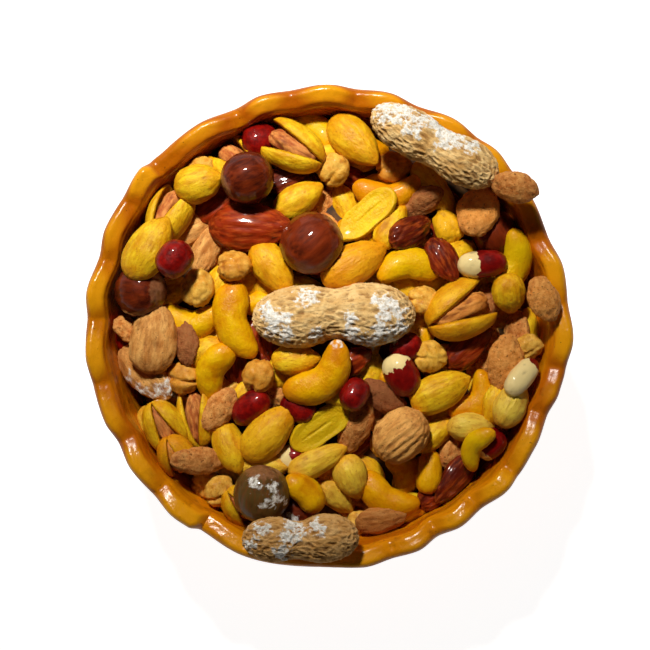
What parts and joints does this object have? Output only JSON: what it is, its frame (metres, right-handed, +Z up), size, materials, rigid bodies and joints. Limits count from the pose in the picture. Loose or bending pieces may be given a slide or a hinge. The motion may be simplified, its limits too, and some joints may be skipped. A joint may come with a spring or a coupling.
{
  "type": "bowl of mixed nuts",
  "caption": "Handmade amber glazed bowl with a wavy lip, heaped with mixed nuts, roasted chickpeas and peanuts in their shells.",
  "frame": {"origin": "middle of the foot ring, on the surface that the bowl stands on", "axes": "+Z up, +X to the right and +Y away from the reader in a view from above, the long peanut lying along X"},
  "size_m": [0.1371, 0.1359, 0.0707],
  "materials": {
    "amber_glaze": "thick glossy amber glaze on stoneware, darker where it pools",
    "roasted_nuts": "saffron yellow, tan and red brown roasted nuts, some glossy and some dusty",
    "peanut_shell": "dry netted shell with patches of white salt"
  },
  "bodies": {
    "root": {"bowl": "amber_glaze", "nut_heap": "roasted_nuts", "peanut_middle": "peanut_shell", "peanut_back": "peanut_shell", "peanut_front": "peanut_shell"}
  },
  "joints": []
}
